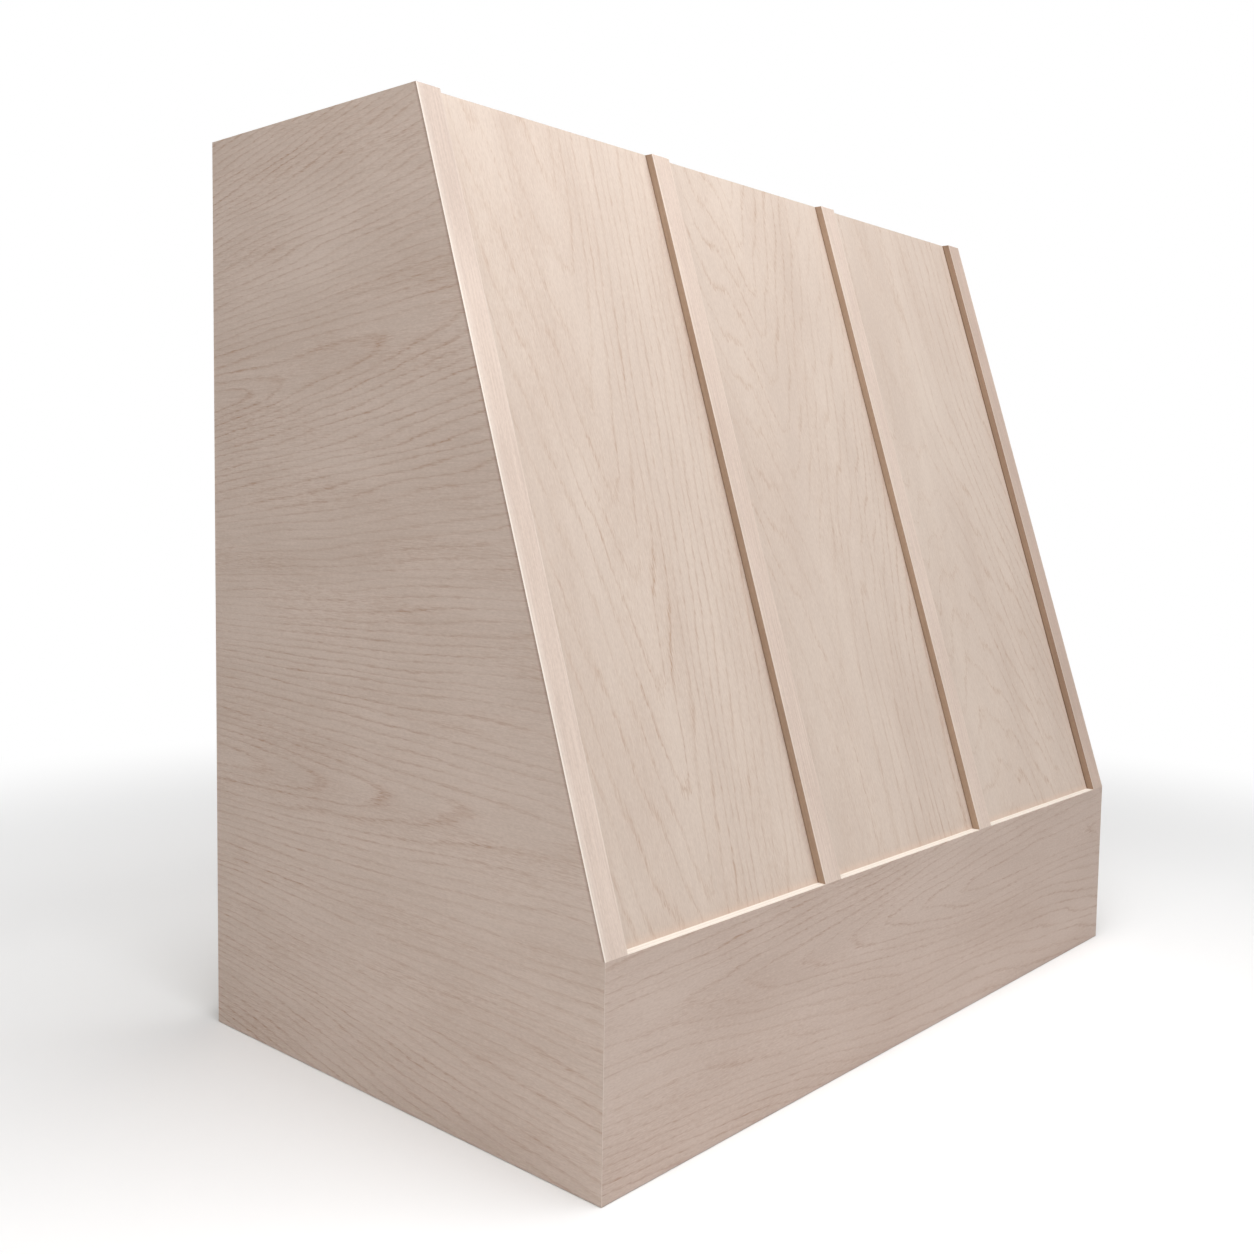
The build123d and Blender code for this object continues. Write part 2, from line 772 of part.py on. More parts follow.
# ---------------------------------------------------------------- files
pieces = {
    "side_panel_left": side_panel_left,
    "side_panel_right": side_panel_right,
    "front_panel": front_panel,
    "apron_board": apron_board,
    "strap_left": strap_left,
    "strap_centre_left": strap_centre_left,
    "strap_centre_right": strap_centre_right,
    "strap_right": strap_right,
    "mitre_spline_left": mitre_spline_left,
    "mitre_spline_right": mitre_spline_right,
    "top_front_rail": top_front_rail,
    "apron_rail": apron_rail,
    "panel_foot_cleat": panel_foot_cleat,
    "corner_strip_left": corner_strip_left,
    "corner_strip_right": corner_strip_right,
    "panel_brace": panel_brace,
    "apron_corner_block_left": apron_corner_block_left,
    "apron_corner_block_right": apron_corner_block_right,
    "shelf_front": shelf_front,
    "shelf_rear": shelf_rear,
    "shelf_left": shelf_left,
    "shelf_right": shelf_right,
    "ledger_front": ledger_front,
    "ledger_left": ledger_left,
    "ledger_right": ledger_right,
    "bottom_rail": bottom_rail,
    "hang_rail": hang_rail,
    "hang_cleat": hang_cleat,
    "wall_cleat": wall_cleat,
    "pocket_screws": pocket_screws,
    "wood_screws": wood_screws,
    "panel_screws": panel_screws,
    "strap_screws": strap_screws,
    "edge_strap_pins": edge_strap_pins,
}
os.makedirs("parts", exist_ok=True)
for name, piece in pieces.items():
    piece.part.label = name
    export_step(piece.part, f"parts/{name}.step")
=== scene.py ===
from collections import namedtuple
from math import cos, pi, radians, sin

import bpy
from mathutils import Matrix, Vector


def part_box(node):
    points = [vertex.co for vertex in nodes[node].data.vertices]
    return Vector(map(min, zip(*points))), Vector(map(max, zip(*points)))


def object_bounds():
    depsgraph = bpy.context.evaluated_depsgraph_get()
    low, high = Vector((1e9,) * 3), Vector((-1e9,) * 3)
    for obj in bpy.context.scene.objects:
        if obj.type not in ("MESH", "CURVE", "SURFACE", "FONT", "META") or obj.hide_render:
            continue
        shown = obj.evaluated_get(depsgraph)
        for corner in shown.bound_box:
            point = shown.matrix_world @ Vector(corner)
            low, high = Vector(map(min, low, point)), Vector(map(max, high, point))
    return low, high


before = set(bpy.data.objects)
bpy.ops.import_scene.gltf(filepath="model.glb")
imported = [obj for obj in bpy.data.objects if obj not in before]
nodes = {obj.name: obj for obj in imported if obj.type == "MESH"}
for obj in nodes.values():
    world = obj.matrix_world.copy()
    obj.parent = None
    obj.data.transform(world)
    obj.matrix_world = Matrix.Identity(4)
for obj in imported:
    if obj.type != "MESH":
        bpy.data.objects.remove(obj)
cad_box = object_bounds()

# ---------------------------------------------------------------- directions and sizes of the object
ACROSS = Vector((1, 0, 0))
BACK = Vector((0, 1, 0))
UP = Vector((0, 0, 1))

cover_high = cad_box[1]
apron_low, apron_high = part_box("apron_board")
strap_low, strap_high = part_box("strap_centre_left")
strap_points = [vertex.co for vertex in nodes["strap_centre_left"].data.vertices]


def find_slope():
    """Direction up the slanted panel and its straps, from the front corners of one strap."""
    near = 0.0005
    foot = min(point.y for point in strap_points if point.z < strap_low.z + near)
    head = min(point.y for point in strap_points if point.z > strap_high.z - near)
    return Vector((0, head - foot, strap_high.z - strap_low.z)).normalized()


def middle_x(name):
    """The x of a node's middle."""
    low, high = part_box(name)
    return (low.x + high.x) / 2


UP_SLOPE = find_slope()
OUT_OF_SLOPE = Vector((0, -UP_SLOPE.z, UP_SLOPE.y))
slope_foot = Vector((0, apron_low.y, apron_high.z))
strap_half = (strap_high.x - strap_low.x) / 2
strap_heights = [point.dot(OUT_OF_SLOPE) for point in strap_points]
strap_depth = max(strap_heights) - min(strap_heights)
leaf_width = middle_x("strap_centre_right") - middle_x("strap_centre_left")

# ---------------------------------------------------------------- colours
WHITE = (1.0, 1.0, 1.0, 1.0)


def rgb(red, green, blue):
    """Linear colour from the usual 0 to 255 screen values."""
    def linear(value):
        value /= 255
        return value / 12.92 if value <= 0.04045 else ((value + 0.055) / 1.055) ** 2.4

    return linear(red), linear(green), linear(blue), 1.0


def dimmed(color, share):
    """A linear colour of which only this share is left."""
    return tuple(value * share for value in color[:3]) + (1.0,)


# ---------------------------------------------------------------- node graphs
class Graph:
    """Builds the nodes of a material or the world; values are plain values or other nodes' sockets."""

    def __init__(self, tree, material=None):
        self.tree = tree
        self.material = material
        tree.nodes.clear()

    @classmethod
    def of_material(cls, name):
        material = bpy.data.materials.new(name)
        material.use_nodes = True
        return cls(material.node_tree, material)

    def put(self, socket, value):
        if isinstance(value, bpy.types.NodeSocket):
            self.tree.links.new(value, socket)
        else:
            socket.default_value = value

    def node(self, kind, inputs, **settings):
        made = self.tree.nodes.new(kind)
        for key, value in settings.items():
            setattr(made, key, value)
        for key, value in inputs.items():
            self.put(made.inputs[key], value)
        return made

    def coordinates(self, kind):
        return self.tree.nodes.new("ShaderNodeTexCoord").outputs[kind]

    def math(self, operation, *values):
        return self.node("ShaderNodeMath", dict(enumerate(values)), operation=operation).outputs[0]

    def plus(self, first, second):
        return self.math("ADD", first, second)

    def minus(self, first, second):
        return self.math("SUBTRACT", first, second)

    def times(self, first, second):
        return self.math("MULTIPLY", first, second)

    def vector(self, operation, *values):
        return self.node("ShaderNodeVectorMath", dict(enumerate(values)), operation=operation).outputs[0]

    def joined(self, x, y, z):
        return self.node("ShaderNodeCombineXYZ", {0: x, 1: y, 2: z}).outputs[0]

    def dot(self, vector, direction):
        made = self.node("ShaderNodeVectorMath", {0: vector, 1: direction}, operation="DOT_PRODUCT")
        return made.outputs["Value"]

    def noise(self, point, repeats, detail=2.0, rough=0.5):
        """Noise that repeats about so many times per metre along x, y and z."""
        scaled = self.vector("MULTIPLY", point, repeats)
        inputs = {"Vector": scaled, "Scale": 1.0, "Detail": detail, "Roughness": rough}
        return self.node("ShaderNodeTexNoise", inputs).outputs[0]

    def ease(self, value, low, high, start=0.0, end=1.0):
        """From start, where the value is low, smoothly to end, where it is high."""
        inputs = {"Value": value, "From Min": low, "From Max": high, "To Min": start, "To Max": end}
        return self.node("ShaderNodeMapRange", inputs, interpolation_type="SMOOTHSTEP").outputs[0]

    def fade(self, value, full, gone, strength=1.0):
        """The strength where the value is below full, which fades to nothing at gone."""
        return self.ease(value, full, gone, strength, 0.0)

    def mix(self, factor, first, second):
        """Between two numbers, as far as the factor says."""
        return self.node("ShaderNodeMix", {0: factor, 2: first, 3: second}, data_type="FLOAT").outputs[0]

    def blend(self, factor, first, second, mode="MIX"):
        """Between two colours, as far as the factor says."""
        inputs = {0: factor, 6: first, 7: second}
        return self.node("ShaderNodeMix", inputs, data_type="RGBA", blend_type=mode).outputs[2]

    def surface(self, color, roughness, height=None, relief=0.0, metallic=0.0, specular=0.2):
        """A shader; a height of 1 looks a millimetre high, and relief says how strongly that shows."""
        inputs = {
            "Base Color": color,
            "Roughness": roughness,
            "Metallic": metallic,
            "Specular IOR Level": specular,
        }
        if height is not None:
            bumps = {"Strength": relief, "Distance": 0.001, "Height": height}
            inputs["Normal"] = self.node("ShaderNodeBump", bumps).outputs[0]
        return self.node("ShaderNodeBsdfPrincipled", inputs).outputs[0]

    def finish(self, shader):
        self.node("ShaderNodeOutputMaterial", {"Surface": shader})
        return self.material


def sees_surroundings(graph):
    """1 for the rays that show the white surroundings: the camera's own, mirrored and passed ones."""
    rays = graph.tree.nodes.new("ShaderNodeLightPath").outputs
    shown = graph.math("MAXIMUM", rays["Is Camera Ray"], rays["Is Glossy Ray"])
    return graph.math("MAXIMUM", shown, rays["Is Transmission Ray"])


# ---------------------------------------------------------------- places on a board
# A spot on a board as its grain sees it: how far it lies along the grain, across the board and out
# of it, a point for the noises, the number of its veneer leaf, and where the surface faces
Spot = namedtuple("Spot", "along sideways through point leaf_number normal")

# How far apart along the grain the noises of two leaves lie
LEAF_JUMP = 3.7


def board_spot(graph, directions, origin, seed, leaf):
    """Spot of a board with these three directions, and with veneer leaves of this width, if any."""
    normal = graph.coordinates("Normal")
    from_origin = graph.vector("SUBTRACT", graph.coordinates("Object"), origin)
    along, sideways, through = (graph.dot(from_origin, direction) for direction in directions)
    point = graph.vector("ADD", graph.joined(along, sideways, through), seed)
    if not leaf:
        return Spot(along, sideways, through, point, 0.0, normal)

    # The leaves lie side by side, each with a figure and noises of its own
    leaf_number = graph.math("FLOOR", graph.plus(graph.math("DIVIDE", sideways, leaf), 0.5))
    in_leaf = graph.minus(sideways, graph.times(leaf_number, leaf))
    jump = graph.joined(graph.times(leaf_number, LEAF_JUMP), 0.0, leaf_number)
    return Spot(along, in_leaf, through, graph.vector("ADD", point, jump), leaf_number, normal)


def grain_noise(graph, spot, repeats, detail=2.0, rough=0.5):
    """Noise that repeats about so many times per metre, first along the grain and then across it."""
    along, across = repeats
    return graph.noise(spot.point, (along, across, across), detail, rough)


def facing(graph, spot, direction, low=0.85, high=0.98):
    """1 where the surface faces along a direction, either way, and 0 where it faces well aside."""
    squareness = graph.math("ABSOLUTE", graph.dot(spot.normal, direction))
    return graph.ease(squareness, low, high)


# ---------------------------------------------------------------- figures of the wood
# Each figure gives the number of the growth ring at a spot, and how many rings there are per metre.

# The length, in metres, over which tapering lines turn straight
TAPER_ROUNDING = 0.15

# Just under 1, so that the tips of the tongues are round
CREST_ROUNDING = 0.994

# Higher than any board, in metres
NO_LIMIT = 9.0


def arches(rings, far_rings, taper, heart=0.0, soft=1.2, low=-NO_LIMIT, high=NO_LIMIT):
    """Growth rings of a sawn board: arches over the heart, and straight lines on both of its sides.

    There are so many rings per metre on the near and the far side. The arches taper between the
    heights low and high, and their lines run straight below and above these.
    """
    def figure(graph, spot):
        tapering = graph.math("SMOOTH_MAX", spot.along, low, TAPER_ROUNDING)
        tapering = graph.math("SMOOTH_MIN", tapering, high, TAPER_ROUNDING)
        from_heart = graph.minus(spot.sideways, heart)
        near = graph.times(graph.math("MINIMUM", from_heart, 0.0), rings)
        far = graph.times(graph.math("MAXIMUM", from_heart, 0.0), far_rings)
        straight = graph.math("ABSOLUTE", graph.plus(near, far))
        reach = graph.math("SQRT", graph.plus(graph.times(straight, straight), soft * soft))
        density = graph.mix(graph.math("GREATER_THAN", from_heart, 0.0), rings, far_rings)
        density = graph.times(density, graph.math("DIVIDE", straight, reach))
        return graph.plus(reach, graph.times(tapering, taper)), density

    return figure


def waves(count, length, crest, taper, fan, level):
    """Growth rings of peeled veneer: across it, their number rises by count and falls, in each length.

    Crest is the height of one crest, which tongues close, and level the height from which the lines
    fan out, as they run along the board.
    """
    def figure(graph, spot):
        narrowing = graph.minus(1.0, graph.times(spot.along, fan))
        from_level = graph.times(graph.minus(spot.sideways, level), narrowing)
        phase = graph.times(graph.minus(from_level, crest - level), 2 * pi / length)
        rounded = graph.times(graph.math("COSINE", phase), CREST_ROUNDING)
        wave = graph.times(graph.math("ARCSINE", rounded), 2 / pi)
        closing = graph.times(graph.times(wave, spot.along), taper)
        return graph.plus(graph.times(wave, count / 2), closing), 2 * count / length

    return figure


def by_leaf(left, middle, right):
    """A figure of its own for each of three veneer leaves."""
    def figure(graph, spot):
        ring, density = left(graph, spot)
        for following, border in ((middle, -0.5), (right, 0.5)):
            next_ring, next_density = following(graph, spot)
            past = graph.math("GREATER_THAN", spot.leaf_number, border)
            ring = graph.mix(past, ring, next_ring)
            density = graph.mix(past, density, next_density)
        return ring, density

    return figure


# ---------------------------------------------------------------- wood
# Repeats per metre of the wood's noises, along and across the grain
WANDER = (5.0, 15.0)
BUNCHES = (2.0, 34.0)
RAGS = (70.0, 700.0)
PORES = (90.0, 1300.0)
STRONG_SPOTS = (11.0, 70.0)
FADED_PARTS = (1.6, 6.0)
PORE_PATCHES = (4.0, 22.0)
FIBRES = (14.0, 520.0)
FLECKS = (240.0, 800.0)
CLOUDS = (4.5, 12.0)

# Repeats per metre along, across and through a sheet, of the fibre ends on its edges
FIBRE_ENDS = (260.0, 260.0, 900.0)

# How many rings a line strays by
BUNCHING = 2.2
RAGGEDNESS = 0.5

# A line reaches so many metres and so much of a ring to each side, but at most so much of a ring
LINE_REACH = 0.0008
ADDED_REACH = 0.035
MOST_REACH = 0.2

# How far the noises stray from their middle, before the tone is wholly light or dark
TONE_SPREAD = 0.32


def line_strength_at(graph, spot, ring, density):
    """How strong a line is: it changes along the line, and from line to line, and is less in narrow rings."""
    strong = graph.ease(grain_noise(graph, spot, STRONG_SPOTS), 0.34, 0.66, 0.5, 1.0)
    strong = graph.times(strong, graph.ease(density, 40.0, 220.0, 1.0, 0.5))
    strong = graph.times(strong, graph.ease(grain_noise(graph, spot, FADED_PARTS), 0.38, 0.62, 0.55, 1.0))
    nearest = graph.math("FLOOR", graph.plus(ring, 0.5))
    own = graph.node("ShaderNodeTexWhiteNoise", {"W": nearest}, noise_dimensions="1D").outputs["Value"]
    return graph.times(strong, graph.plus(graph.times(own, 0.4), 0.7))


def ring_lines(graph, spot, ring, density, speck):
    """Fuzzy bands of late wood with a broken line of pores in each, from 0 to 1.

    The density is in rings per metre, so that wide and narrow rings get lines of the same width.
    """
    turn = graph.math("FRACT", ring)
    from_line = graph.minus(0.5, graph.math("ABSOLUTE", graph.minus(turn, 0.5)))
    reach = graph.plus(graph.times(density, LINE_REACH), ADDED_REACH)
    reach = graph.math("MINIMUM", reach, MOST_REACH)
    core = graph.fade(from_line, full=0.0, gone=reach)
    band = graph.ease(turn, graph.minus(1.0, graph.times(reach, 3.0)), 1.0)
    band = graph.times(band, graph.fade(turn, full=0.97, gone=1.0))

    pores = graph.ease(grain_noise(graph, spot, PORES, detail=1.0), 0.42, 0.66)
    dashes = graph.plus(graph.times(pores, 0.4), 0.6)
    lines = graph.plus(graph.times(core, dashes), graph.times(band, 0.25))
    lines = graph.times(lines, line_strength_at(graph, spot, ring, density))
    patches = graph.ease(grain_noise(graph, spot, PORE_PATCHES), 0.4, 0.7, 0.04, speck)
    return graph.plus(lines, graph.times(pores, patches))


def plies(graph, color, spot, out, thickness, edge):
    """Plies on every cut edge, in turn along and across the grain, with thin glue lines."""
    layer = graph.math("DIVIDE", spot.through, thickness)
    odd = graph.math("PINGPONG", graph.math("FLOOR", layer), 1.0)
    glue = graph.math("COMPARE", graph.math("FRACT", layer), 0.0, 0.06)
    fibre_ends = graph.noise(spot.point, FIBRE_ENDS, rough=0.6)
    darker = graph.plus(graph.times(odd, 0.45), graph.times(fibre_ends, 0.5))
    layers = graph.blend(darker, rgb(*edge), dimmed(rgb(*edge), 0.80))
    layers = graph.blend(graph.times(glue, 0.35), layers, rgb(150, 118, 90))
    on_edge = graph.minus(1.0, facing(graph, spot, out, low=0.35, high=0.65))
    return graph.blend(on_edge, color, layers)


def wood(
    name,
    directions,
    figure,
    origin=(0, 0, 0),
    seed=(0, 0, 0),
    light=(222, 204, 190),
    dark=(206, 184, 170),
    line=(172, 138, 114),
    swirl=7.0,
    swirls=(1.1, 4.2),
    bend=1.6,
    line_strength=0.5,
    speck=0.3,
    fibre=0.3,
    fleck=0.7,
    cloud=0.7,
    leaf=0.0,
    ply=0.0,
    edge=(226, 206, 184),
    marks_and_painted_light=None,
):
    """Wood with growth rings, pores, fibres and slow changes of tone, and with plies on its edges.

    The directions are along the grain, across the board and out of its face. Swirl and bend say how
    many rings a line strays by, swirls how often it does so per metre. Leaf and ply are the width of
    a veneer leaf and the thickness of a ply, where there are any, and marks_and_painted_light a
    function that paints joint lines, painted highlights and painted shade into the colour in places.
    """
    graph = Graph.of_material(name)
    spot = board_spot(graph, directions, origin, seed, leaf)
    straying = (
        (grain_noise(graph, spot, swirls, rough=0.45), swirl * 2),
        (grain_noise(graph, spot, WANDER), bend),
        (grain_noise(graph, spot, BUNCHES, detail=1.0), BUNCHING),
        (grain_noise(graph, spot, RAGS, detail=1.0), RAGGEDNESS),
    )
    ring, density = figure(graph, spot)
    for unevenness, amount in straying:
        ring = graph.plus(ring, graph.times(unevenness, amount))
    lines = ring_lines(graph, spot, ring, density, speck)

    # Fibres, short flecks and slow clouds of tone
    fibres = grain_noise(graph, spot, FIBRES, detail=3.0, rough=0.6)
    flecks = grain_noise(graph, spot, FLECKS, rough=0.6)
    clouds = grain_noise(graph, spot, CLOUDS, detail=3.0, rough=0.6)
    tone = graph.plus(graph.times(clouds, cloud), graph.times(fibres, fibre))
    tone = graph.plus(tone, graph.times(flecks, fleck))
    middle_tone = (cloud + fibre + fleck) / 2
    tone = graph.ease(tone, middle_tone - TONE_SPREAD, middle_tone + TONE_SPREAD)
    color = graph.blend(tone, rgb(*light), rgb(*dark))
    color = graph.blend(graph.times(lines, line_strength), color, rgb(*line))
    if ply:
        color = plies(graph, color, spot, directions[2], ply, edge)
    if marks_and_painted_light:
        color = marks_and_painted_light(graph, color, spot)

    roughness = graph.ease(graph.plus(fibres, lines), 0.2, 1.4, 0.52, 0.74)
    height = graph.minus(graph.times(fibres, 0.25), lines)
    return graph.finish(graph.surface(color, roughness, height, relief=0.12))


def dress(material, *names):
    """Gives CAD nodes a material."""
    for name in names:
        for slot in nodes[name].material_slots:
            slot.material = material


# ---------------------------------------------------------------- side panels
PANEL_PLY = 0.0021


def mitre_line_and_shade(graph, color, spot):
    """The thin dark line along the slope, where the side's mitre meets the strap: partly the dark joint
    itself, and partly painted shade that fades out into the side.
    """
    from_foot = graph.vector("SUBTRACT", graph.coordinates("Object"), slope_foot)
    below_slope = graph.dot(from_foot, -OUT_OF_SLOPE)
    near_slope = graph.fade(below_slope, full=0.0006, gone=0.0036)
    above_apron = graph.ease(graph.dot(from_foot, UP), -0.001, 0.001)
    joint_line_and_shade = graph.times(near_slope, above_apron)
    return graph.blend(graph.times(joint_line_and_shade, 0.45), color, rgb(140, 98, 74))


side_figure = waves(count=51.0, length=0.704, crest=0.275, taper=-9.0, fan=0.42, level=0.305)
for side, out, seed in (("left", -ACROSS, (3.0, 1.0, 0)), ("right", ACROSS, (9.0, 4.0, 2.0))):
    side_veneer = wood(
        f"side_{side}_veneer", (-BACK, UP, out), side_figure, (0, cover_high.y, 0), seed,
        light=(224, 205, 192), dark=(209, 189, 175), line=(178, 136, 108), line_strength=0.78,
        swirl=1.8, swirls=(2.0, 7.0), bend=1.2, fibre=0.45, ply=PANEL_PLY, marks_and_painted_light=mitre_line_and_shade,
    )
    dress(side_veneer, f"side_panel_{side}")


# ---------------------------------------------------------------- slanted front panel
def painted_ledge_bounce(graph, color, spot):
    """Painted light: the panel's foot is painted a little warmer, as light bounced off the apron's bright top
    edge.
    """
    painted_bounce = graph.fade(spot.along, full=0.002, gone=0.012, strength=0.28)
    return graph.blend(painted_bounce, color, rgb(246, 216, 196))


front_figure = by_leaf(
    left=arches(rings=44.0, far_rings=90.0, taper=-10.0, heart=-0.012, soft=0.4),
    middle=arches(rings=30.0, far_rings=66.0, taper=-20.0, heart=-0.030, soft=0.6, low=0.24),
    right=arches(rings=6.0, far_rings=58.0, taper=20.0, heart=-0.04, soft=1.6, high=0.48),
)
front_veneer = wood(
    "front_veneer", (UP_SLOPE, ACROSS, OUT_OF_SLOPE), front_figure, slope_foot, (2.0, 5.0, 0),
    light=(223, 207, 194), dark=(208, 190, 177), line=(182, 146, 120), line_strength=0.7,
    swirl=1.6, bend=1.2, leaf=leaf_width, ply=0.0018, marks_and_painted_light=painted_ledge_bounce,
)
dress(front_veneer, "front_panel")

# ---------------------------------------------------------------- apron
# The height of the heart, which the arches lie over
APRON_HEART_HEIGHT = 0.133


def painted_corner_highlight(graph, color, spot):
    """A thin pale line down each end, a painted highlight on the corner with the side panel."""
    from_end = graph.minus(cover_high.x, graph.math("ABSOLUTE", spot.along))
    corner_highlight = graph.fade(from_end, full=0.0002, gone=0.0012, strength=0.32)
    corner_highlight = graph.times(corner_highlight, facing(graph, spot, BACK))
    return graph.blend(corner_highlight, color, rgb(250, 240, 230))


apron_veneer = wood(
    "apron_veneer", (ACROSS, UP, -BACK), arches(rings=105.0, far_rings=105.0, taper=-9.0),
    (0, apron_low.y, APRON_HEART_HEIGHT), (5.0, 2.0, 0),
    light=(219, 200, 188), dark=(202, 181, 168), line=(172, 132, 107), line_strength=0.66,
    ply=PANEL_PLY, edge=(226, 216, 206), marks_and_painted_light=painted_corner_highlight,
)
dress(apron_veneer, "apron_board")

# ---------------------------------------------------------------- straps
# The heights along the slope between which the left strap's head darkens, as painted shade
HEAD_START, HEAD_END = 0.48, 0.70

# What is left of each colour on a strap's side, in the painted shadow of its joint with the panel, and at a
# head darkened as painted shade
SIDE_SHADE = (0.58, 0.50, 0.41, 1.0)
PAINTED_JOINT_SHADOW = (0.5, 0.42, 0.36, 1.0)
PAINTED_HEAD_SHADE = (0.8, 0.79, 0.79, 1.0)


def strap_sides_and_painted_light(arris_highlight, painted_glow, head):
    """Painted highlights along the arrises of a strap's face, strongest at its left edge with a pale glow
    beside it, a head darkened as painted shade, darker sides, and painted shadow where the sides meet the
    panel.
    """
    def marks_and_painted_light(graph, color, spot):
        from_left = graph.plus(spot.sideways, strap_half)
        from_right = graph.minus(strap_half, spot.sideways)
        # Painted highlights: pale lines along the face's arrises, and a pale glow beside the left one
        left_arris_highlight = graph.fade(from_left, full=0.0006, gone=0.0022, strength=arris_highlight)
        left_painted_glow = graph.fade(from_left, full=0.0, gone=0.009, strength=painted_glow)
        right_arris_highlight = graph.fade(from_right, full=0.0004, gone=0.0016, strength=0.2)
        painted_highlight = graph.plus(graph.plus(left_arris_highlight, left_painted_glow), right_arris_highlight)
        painted_highlight = graph.times(painted_highlight, facing(graph, spot, OUT_OF_SLOPE))
        color = graph.blend(painted_highlight, color, rgb(255, 246, 236))

        on_side = facing(graph, spot, ACROSS)
        color = graph.blend(on_side, color, SIDE_SHADE, "MULTIPLY")
        # Painted shadow: each side darkens towards the panel, in the corner where they meet
        from_panel = graph.plus(spot.through, strap_depth)
        painted_joint_shadow = graph.fade(from_panel, full=0.0, gone=0.28 * strap_depth)
        color = graph.blend(graph.times(painted_joint_shadow, on_side), color, PAINTED_JOINT_SHADOW, "MULTIPLY")
        # Painted shade: the strap darkens towards its top end
        painted_head_shade = graph.ease(spot.along, HEAD_START, HEAD_END, 0.0, head)
        return graph.blend(painted_head_shade, color, PAINTED_HEAD_SHADE, "MULTIPLY")

    return marks_and_painted_light


def shaded(color, shade):
    """A screen colour with each of its parts changed by the shade."""
    return tuple(value * part for value, part in zip(color, shade))


def dress_strap(name, number, shade=(0.99, 0.988, 0.988), arris_highlight=0.3, painted_glow=0.0, head=0.0):
    """Gives a strap its wood, with straight grain up the slope."""
    strap_wood = wood(
        f"{name}_wood", (UP_SLOPE, ACROSS, OUT_OF_SLOPE), arches(260.0, 260.0, taper=2.0, heart=0.4),
        (middle_x(name), slope_foot.y, slope_foot.z), (2.0 * number, 0.7 * number, 0),
        light=shaded((232, 214, 201), shade), dark=shaded((213, 194, 181), shade), line=(196, 164, 144),
        swirl=2.0, speck=0.1, fibre=0.8, marks_and_painted_light=strap_sides_and_painted_light(arris_highlight, painted_glow, head),
    )
    dress(strap_wood, name)


# Each strap's shade tints its wood: the left strap's is a little lighter, as painted light, and the right
# strap's darker, as painted shade, and a little redder. Arris, glow and head are painted light and shade.
dress_strap("strap_left", 0, shade=(1.0, 1.0, 1.002), arris_highlight=0.6, painted_glow=0.28, head=0.65)
dress_strap("strap_centre_left", 1)
dress_strap("strap_centre_right", 2)
dress_strap("strap_right", 3, shade=(0.915, 0.895, 0.885))


def ease_arrises(name):
    """Joins a strap's faces along their edges, and rounds the edges a little."""
    weld = nodes[name].modifiers.new("joined_faces", "WELD")
    weld.merge_threshold = 0.000001
    bevel = nodes[name].modifiers.new("eased_edges", "BEVEL")
    bevel.width = 0.0004
    bevel.segments = 2
    bevel.limit_method = "ANGLE"
    bevel.angle_limit = radians(40)
    bevel.use_clamp_overlap = False
    bevel.harden_normals = True


ease_arrises("strap_centre_left")
ease_arrises("strap_centre_right")

# ---------------------------------------------------------------- pine frame
straight = arches(rings=150.0, far_rings=150.0, taper=8.0, heart=0.4)
pine = dict(light=(226, 200, 160), dark=(210, 178, 134), line=(176, 128, 82), line_strength=0.7, swirl=3.0)
dress(
    wood("pine_across", (ACROSS, UP, BACK), straight, **pine),
    "top_front_rail", "apron_rail", "panel_foot_cleat", "panel_brace", "ledger_front", "bottom_rail",
)
dress(wood("pine_back", (BACK, UP, ACROSS), straight, **pine), "ledger_left", "ledger_right")
dress(
    wood("pine_slope", (UP_SLOPE, ACROSS, OUT_OF_SLOPE), straight, slope_foot, **pine),
    "corner_strip_left", "corner_strip_right",
)
dress(
    wood("pine_up", (UP, ACROSS, BACK), straight, **pine),
    "apron_corner_block_left", "apron_corner_block_right",
)

# ---------------------------------------------------------------- birch plywood
peeled = arches(rings=85.0, far_rings=85.0, taper=8.0, heart=0.3)
birch = dict(light=(232, 214, 184), dark=(218, 196, 162), line=(190, 158, 120), ply=PANEL_PLY)
dress(wood("birch_flat", (ACROSS, BACK, UP), peeled, **birch), "shelf_front", "shelf_rear")
dress(wood("birch_flat_back", (BACK, ACROSS, UP), peeled, **birch), "shelf_left", "shelf_right")
dress(
    wood("birch_upright", (ACROSS, UP, BACK), peeled, **birch),
    "hang_rail", "hang_cleat", "mitre_spline_left", "mitre_spline_right",
)
dress(wood("birch_wall_cleat", (ACROSS, UP, BACK), peeled, seed=(4.0, 3.0, 2.0), **birch), "wall_cleat")

# ---------------------------------------------------------------- fasteners
# Repeats per metre, in all three directions
PLATING_PATCHES = (260.0, 260.0, 260.0)
TURNING_MARKS = (1800.0, 1800.0, 1800.0)


def steel(name, color, roughness):
    """Zinc-plated steel with fine turning marks and a little uneven plating."""
    graph = Graph.of_material(name)
    place = graph.coordinates("Object")
    plating = graph.noise(place, PLATING_PATCHES, detail=3.0, rough=0.6)
    marks = graph.noise(place, TURNING_MARKS, detail=1.0)
    shade = graph.blend(plating, rgb(*color), dimmed(rgb(*color), 0.72))
    uneven = graph.ease(plating, 0.2, 0.8, roughness - 0.08, roughness + 0.12)
    return graph.finish(graph.surface(shade, uneven, marks, relief=0.08, metallic=1.0, specular=0.5))


dress(
    steel("zinc_steel", (196, 194, 184), roughness=0.34),
    "pocket_screws", "wood_screws", "panel_screws", "strap_screws", "edge_strap_pins",
)

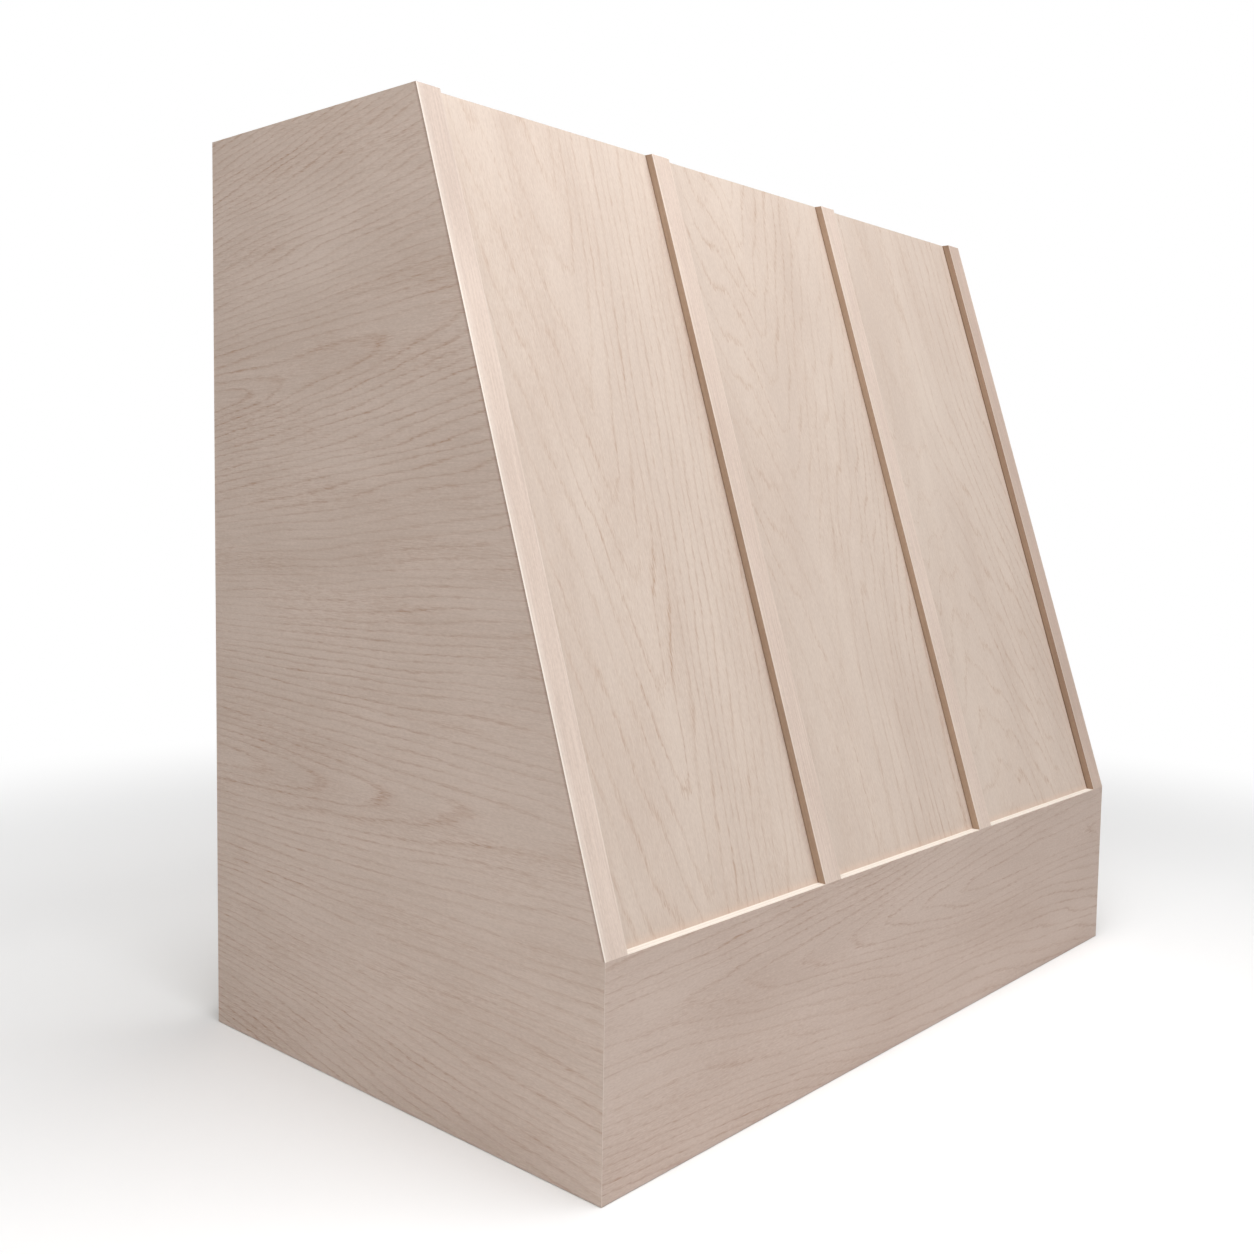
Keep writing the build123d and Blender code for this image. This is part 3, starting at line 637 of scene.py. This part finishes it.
# ---------------------------------------------------------------- camera
# The photograph was taken from the front left, near the height of the cover's middle. The camera's
# place, turn and lens were solved from the photograph's corner points.
PHOTO_WIDTH = 1254
FOCAL_PIXELS = 1357.63
SENSOR_WIDTH = 36.0
CAMERA_SHIFT = -0.0146
CAMERA_PLACE = Vector((-1.18917, -0.93757, 0.53424))
yaw, pitch, roll = radians(48.200), radians(-4.461), radians(0.932)


def camera_turn():
    """The camera's turn, from its yaw, pitch and roll."""
    forward = Vector((sin(yaw) * cos(pitch), cos(yaw) * cos(pitch), sin(pitch)))
    level_right = Vector((cos(yaw), -sin(yaw), 0))
    level_up = level_right.cross(forward)
    right = cos(roll) * level_right + sin(roll) * level_up
    up = cos(roll) * level_up - sin(roll) * level_right
    return Matrix((right, up, -forward)).transposed().to_4x4()


camera_data = bpy.data.cameras.new("photo_camera")
camera_data.sensor_width = SENSOR_WIDTH
camera_data.lens = SENSOR_WIDTH * FOCAL_PIXELS / PHOTO_WIDTH
camera_data.shift_y = CAMERA_SHIFT
camera = bpy.data.objects.new("photo_camera", camera_data)
camera.matrix_world = Matrix.Translation(CAMERA_PLACE) @ camera_turn()
bpy.context.scene.collection.objects.link(camera)
bpy.context.scene.camera = camera

# ---------------------------------------------------------------- lamps
LAMP_TARGET = Vector((0, 0, 0.4))


def area_lamp(name, place, size, power):
    """A soft square lamp that faces the cover's middle."""
    data = bpy.data.lights.new(name, "AREA")
    data.shape = "SQUARE"
    data.size = size
    data.energy = power
    lamp = bpy.data.objects.new(name, data)
    lamp.location = place
    lamp.rotation_euler = (LAMP_TARGET - Vector(place)).to_track_quat("-Z", "Y").to_euler()
    bpy.context.scene.collection.objects.link(lamp)


area_lamp("top_front_left", place=(-0.9, -0.9, 2.5), size=1.6, power=22.4)
area_lamp("top_front", place=(0.0, -0.5, 2.6), size=1.6, power=12.7)
area_lamp("top_left", place=(-1.6, -0.5, 2.2), size=1.6, power=15.1)
area_lamp("high_front", place=(0.2, -0.8, 4.0), size=2.4, power=92.5)
area_lamp("right_fill", place=(3.0, 1.4, 1.4), size=1.6, power=8.8)
area_lamp("back_fill", place=(-0.4, 3.2, 1.4), size=1.6, power=9.8)

# ---------------------------------------------------------------- world
# A faint warm light on the object, and white surroundings for the rays that show them
world = bpy.data.worlds.new("studio")
bpy.context.scene.world = world
world.use_nodes = True
sky = Graph(world.node_tree)
ambient = sky.node("ShaderNodeBackground", {"Color": (1.0, 0.985, 0.97, 1.0), "Strength": 0.04})
seen = sky.node("ShaderNodeBackground", {"Color": WHITE, "Strength": 1.0})
shaders = {0: sees_surroundings(sky), 1: ambient.outputs[0], 2: seen.outputs[0]}
surroundings = sky.node("ShaderNodeMixShader", shaders)
sky.node("ShaderNodeOutputWorld", {"Surface": surroundings.outputs[0]})

# ---------------------------------------------------------------- floor
FLOOR_REACH = 30.0
FLOOR_GAP = 0.0005
FADE_START, FADE_END = 0.9, 1.8
FLOOR_PATCHES = (0.7, 0.7, 0.7)


def floor_material():
    """Pale floor that takes the shadow near the object, and farther away fades into the white."""
    graph = Graph.of_material("studio_floor")
    place = graph.coordinates("Object")
    tone = graph.noise(place, FLOOR_PATCHES)
    color = graph.blend(tone, dimmed(WHITE, 0.90), dimmed(WHITE, 0.88))
    lit = graph.surface(color, roughness=0.9, specular=0.0)
    white = graph.node("ShaderNodeEmission", {"Color": WHITE, "Strength": 1.0}).outputs[0]
    distance = graph.node("ShaderNodeVectorMath", {0: place}, operation="LENGTH").outputs["Value"]
    fading = graph.times(graph.ease(distance, FADE_START, FADE_END), sees_surroundings(graph))
    return graph.finish(graph.node("ShaderNodeMixShader", {0: fading, 1: lit, 2: white}).outputs[0])


corners = [(x * FLOOR_REACH, y * FLOOR_REACH, 0) for x, y in ((-1, -1), (1, -1), (1, 1), (-1, 1))]
floor_mesh = bpy.data.meshes.new("floor")
floor_mesh.from_pydata(corners, [], [(0, 1, 2, 3)])
floor_mesh.materials.append(floor_material())
floor = bpy.data.objects.new("floor", floor_mesh)
floor.location.z = -FLOOR_GAP
bpy.context.scene.collection.objects.link(floor)

bpy.context.scene.view_settings.view_transform = "Standard"
